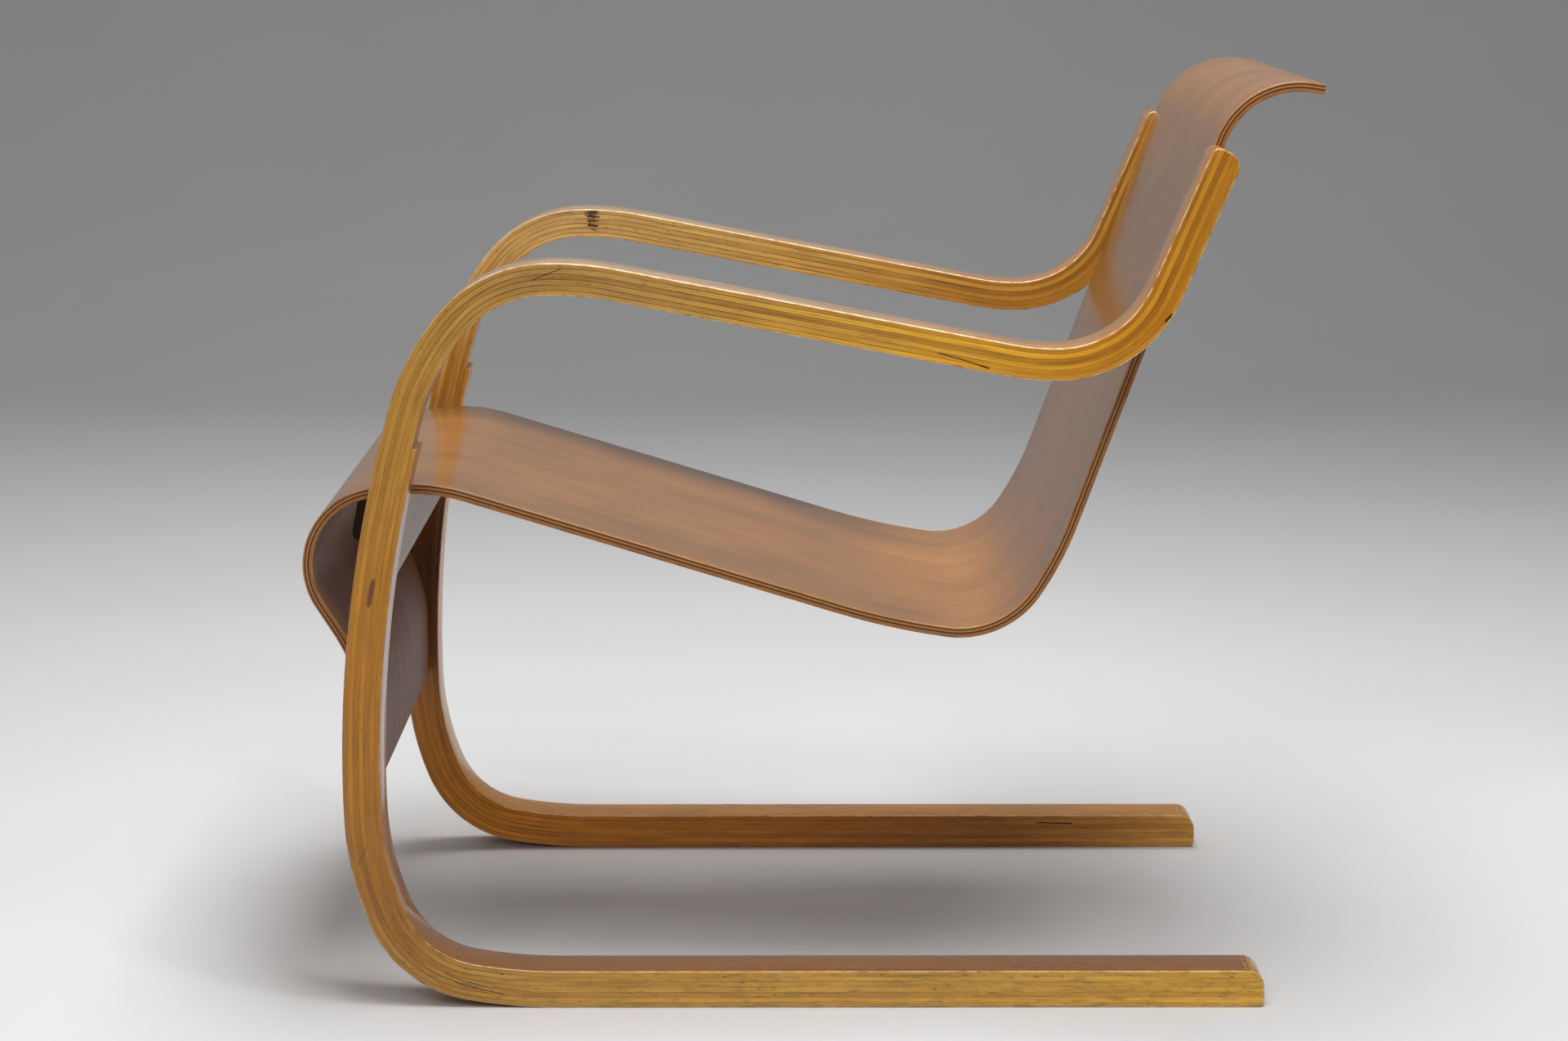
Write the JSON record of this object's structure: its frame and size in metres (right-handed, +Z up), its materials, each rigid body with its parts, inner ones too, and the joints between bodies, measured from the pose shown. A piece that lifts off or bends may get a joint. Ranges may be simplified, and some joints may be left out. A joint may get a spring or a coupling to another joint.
{
  "type": "cantilever lounge chair",
  "caption": "Low lounge chair: laminated bentwood cantilever side frames carry one curved plywood seat and back shell with a rolled front.",
  "frame": {"origin": "floor level at the middle of the chair's width and depth", "axes": "+Z up, +X towards a seated person's left, +Y towards the back of the chair, so the chair faces -Y"},
  "size_m": [0.6, 0.7764, 0.7028],
  "materials": {
    "frame_birch_light": "aged clear lacquer",
    "frame_birch_dark": "aged clear lacquer",
    "shell_veneer": "worn satin lacquer",
    "shell_ply": "bare ply edge",
    "rail_wood": "aged clear lacquer",
    "dowel_wood": "bare",
    "screw_steel": "dull"
  },
  "bodies": {
    "root": {"left_frame_strip_1": "frame_birch_light", "left_frame_strip_2": "frame_birch_light", "left_frame_strip_3": "frame_birch_dark", "left_frame_strip_4": "frame_birch_light", "left_frame_strip_5": "frame_birch_dark", "left_frame_strip_6": "frame_birch_light", "left_leg_strip": "frame_birch_light", "right_frame_strip_1": "frame_birch_light", "right_frame_strip_2": "frame_birch_light", "right_frame_strip_3": "frame_birch_dark", "right_frame_strip_4": "frame_birch_light", "right_frame_strip_5": "frame_birch_dark", "right_frame_strip_6": "frame_birch_light", "right_leg_strip": "frame_birch_light", "seat_face_veneer": "shell_veneer", "seat_core_ply": "shell_ply", "seat_back_veneer": "shell_veneer", "front_rail": "rail_wood", "roll_cleat": "rail_wood", "back_rail": "rail_wood", "front_rail_dowels": "dowel_wood", "back_rail_dowels": "dowel_wood", "seat_screws": "screw_steel", "cleat_screws": "screw_steel", "back_rail_screws": "screw_steel"}
  },
  "joints": []
}
